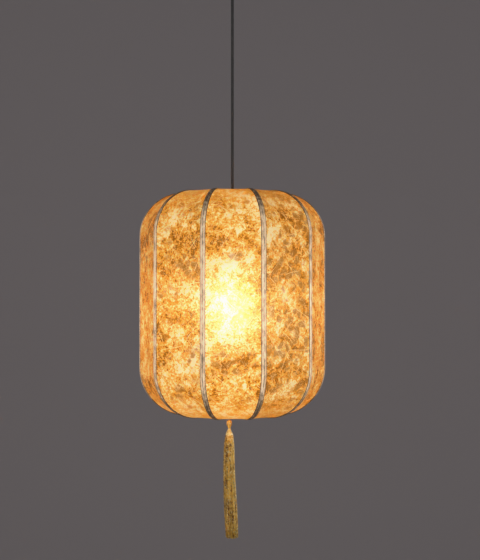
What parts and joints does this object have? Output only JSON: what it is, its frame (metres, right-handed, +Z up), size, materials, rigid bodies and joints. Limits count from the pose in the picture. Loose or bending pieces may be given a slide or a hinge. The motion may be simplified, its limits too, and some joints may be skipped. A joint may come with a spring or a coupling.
{
  "type": "pendant lantern",
  "caption": "Hanging silk lantern with wire ribs hooked on two rings, braid trim, a lampholder and bulb inside, a cord to a ceiling cup and a tassel.",
  "frame": {"origin": "centre of the ceiling bracket's upper face, where it meets the ceiling", "axes": "+Z up into the ceiling, so the lantern hangs in -Z; +X is to the right and -Y towards a viewer in front; the seam is at the back, to the right"},
  "size_m": [0.36, 0.3454, 1.086],
  "materials": {
    "plated_steel": "bright zinc plate on drawn wire and strap",
    "black_steel": "satin black powder coat",
    "black_plastic": "moulded black phenolic",
    "white_plastic": "ivory moulded plastic",
    "black_cord": "black PVC sheath, smooth, round",
    "brass": "plain brass",
    "silk": "marbled gold silk on paper backing, lit from inside",
    "braid": "flat metallic braid, pewter and pale gold thread",
    "bulb_glass": "clear glass, faint amber",
    "bulb_cap_metal": "nickel-plated rolled thread",
    "filament": "yellow phosphor sticks",
    "gold_thread": "dull metallic gold thread",
    "bead": "amber-brown turned bead"
  },
  "bodies": {
    "ceiling": {"ceiling_bracket": "plated_steel", "terminal_block": "white_plastic", "canopy": "black_steel", "canopy_screws": "black_steel", "cord_grip": "black_plastic", "grip_locknut": "black_plastic", "cord_tail": "black_cord"},
    "grip_cap": {"grip_cap": "black_plastic"},
    "cord": {"cord": "black_cord"},
    "frame": {"top_ring": "plated_steel", "spider_arms": "plated_steel", "holder_hub": "plated_steel", "bottom_ring": "plated_steel", "tassel_bar": "plated_steel", "rib_0": "plated_steel", "holder_cap": "black_plastic", "holder_body": "black_plastic", "thread_shell": "brass", "holder_insulator": "white_plastic", "holder_contact": "brass", "terminal_screws": "brass"},
    "shade_nut": {"shade_nut": "black_plastic"},
    "bulb": {"bulb_glass": "bulb_glass", "bulb_cap": "bulb_cap_metal", "bulb_stem": "bulb_glass", "filaments": "filament"},
    "rib_1": {"rib_1": "plated_steel", "panel_0": "silk", "trim_1": "braid"},
    "rib_2": {"rib_2": "plated_steel", "panel_1": "silk", "trim_2": "braid"},
    "rib_3": {"rib_3": "plated_steel", "panel_2": "silk", "trim_3": "braid"},
    "rib_4": {"rib_4": "plated_steel", "panel_3": "silk", "trim_4": "braid"},
    "rib_5": {"rib_5": "plated_steel", "panel_4": "silk", "trim_5": "braid"},
    "rib_6": {"rib_6": "plated_steel", "panel_5": "silk", "trim_6": "braid"},
    "rib_7": {"rib_7": "plated_steel", "panel_6": "silk", "trim_7": "braid"},
    "rib_8": {"rib_8": "plated_steel", "panel_7": "silk", "trim_8": "braid"},
    "rib_9": {"rib_9": "plated_steel", "panel_8": "silk", "trim_9": "braid"},
    "seam": {"seam_strip": "braid", "seam_clips": "plated_steel", "panel_9": "silk"},
    "tassel_loop": {"tassel_loop": "gold_thread"},
    "tassel": {"tassel_bead": "bead", "tassel_head": "gold_thread", "tassel_skirt": "gold_thread"}
  },
  "joints": [
    {"name": "grip_turn", "type": "hinge", "parent": "ceiling", "child": "grip_cap", "pos_m": [0, 0, -0.034], "axis": [0, 0, 1], "range_deg": [0, 540]},
    {"name": "pendant_swing", "type": "hinge", "parent": "ceiling", "child": "cord", "pos_m": [0, 0, -0.031], "axis": [0, 1, 0], "range_deg": [-12, 12]},
    {"name": "lantern_twist", "type": "hinge", "parent": "cord", "child": "frame", "pos_m": [0, 0, -0.528], "axis": [0, 0, 1], "range_deg": [-180, 180]},
    {"name": "shade_nut_turn", "type": "hinge", "parent": "frame", "child": "shade_nut", "pos_m": [0, 0, -0.571], "axis": [0, 0, -1], "range_deg": [0, 720]},
    {"name": "bulb_turn", "type": "hinge", "parent": "frame", "child": "bulb", "pos_m": [0, 0, -0.588], "axis": [0, 0, -1], "range_deg": [0, 900]},
    {"name": "fold_1", "type": "hinge", "parent": "frame", "child": "rib_1", "pos_m": [0, 0, -0.633], "axis": [0, 0, 1], "range_deg": [-26.5, 0], "deforming": ["panel_0"]},
    {"name": "fold_2", "type": "hinge", "parent": "rib_1", "child": "rib_2", "pos_m": [0, 0, -0.633], "axis": [0, 0, 1], "range_deg": [-26.5, 0], "deforming": ["panel_1"]},
    {"name": "fold_3", "type": "hinge", "parent": "rib_2", "child": "rib_3", "pos_m": [0, 0, -0.633], "axis": [0, 0, 1], "range_deg": [-26.5, 0], "deforming": ["panel_2"]},
    {"name": "fold_4", "type": "hinge", "parent": "rib_3", "child": "rib_4", "pos_m": [0, 0, -0.633], "axis": [0, 0, 1], "range_deg": [-26.5, 0], "deforming": ["panel_3"]},
    {"name": "fold_5", "type": "hinge", "parent": "rib_4", "child": "rib_5", "pos_m": [0, 0, -0.633], "axis": [0, 0, 1], "range_deg": [-26.5, 0], "deforming": ["panel_4"]},
    {"name": "fold_6", "type": "hinge", "parent": "rib_5", "child": "rib_6", "pos_m": [0, 0, -0.633], "axis": [0, 0, 1], "range_deg": [-26.5, 0], "deforming": ["panel_5"]},
    {"name": "fold_7", "type": "hinge", "parent": "rib_6", "child": "rib_7", "pos_m": [0, 0, -0.633], "axis": [0, 0, 1], "range_deg": [-26.5, 0], "deforming": ["panel_6"]},
    {"name": "fold_8", "type": "hinge", "parent": "rib_7", "child": "rib_8", "pos_m": [0, 0, -0.633], "axis": [0, 0, 1], "range_deg": [-26.5, 0], "deforming": ["panel_7"]},
    {"name": "fold_9", "type": "hinge", "parent": "rib_8", "child": "rib_9", "pos_m": [0, 0, -0.633], "axis": [0, 0, 1], "range_deg": [-26.5, 0], "deforming": ["panel_8"]},
    {"name": "fold_seam", "type": "hinge", "parent": "rib_9", "child": "seam", "pos_m": [0, 0, -0.633], "axis": [0, 0, 1], "range_deg": [-26.5, 0], "deforming": ["panel_9"]},
    {"name": "tassel_swing", "type": "hinge", "parent": "frame", "child": "tassel_loop", "pos_m": [-0.006, 0, -0.83795], "axis": [1, 0, 0], "range_deg": [-20, 20]},
    {"name": "tassel_sway", "type": "hinge", "parent": "tassel_loop", "child": "tassel", "pos_m": [-0.006, 0, -0.857], "axis": [0, 1, 0], "range_deg": [-15, 15]}
  ],
  "couplings": [
    {"joint": "fold_2", "follows": "fold_1", "ratio": 1},
    {"joint": "fold_3", "follows": "fold_1", "ratio": 1},
    {"joint": "fold_4", "follows": "fold_1", "ratio": 1},
    {"joint": "fold_5", "follows": "fold_1", "ratio": 1},
    {"joint": "fold_6", "follows": "fold_1", "ratio": 1},
    {"joint": "fold_7", "follows": "fold_1", "ratio": 1},
    {"joint": "fold_8", "follows": "fold_1", "ratio": 1},
    {"joint": "fold_9", "follows": "fold_1", "ratio": 1},
    {"joint": "fold_seam", "follows": "fold_1", "ratio": 1}
  ]
}
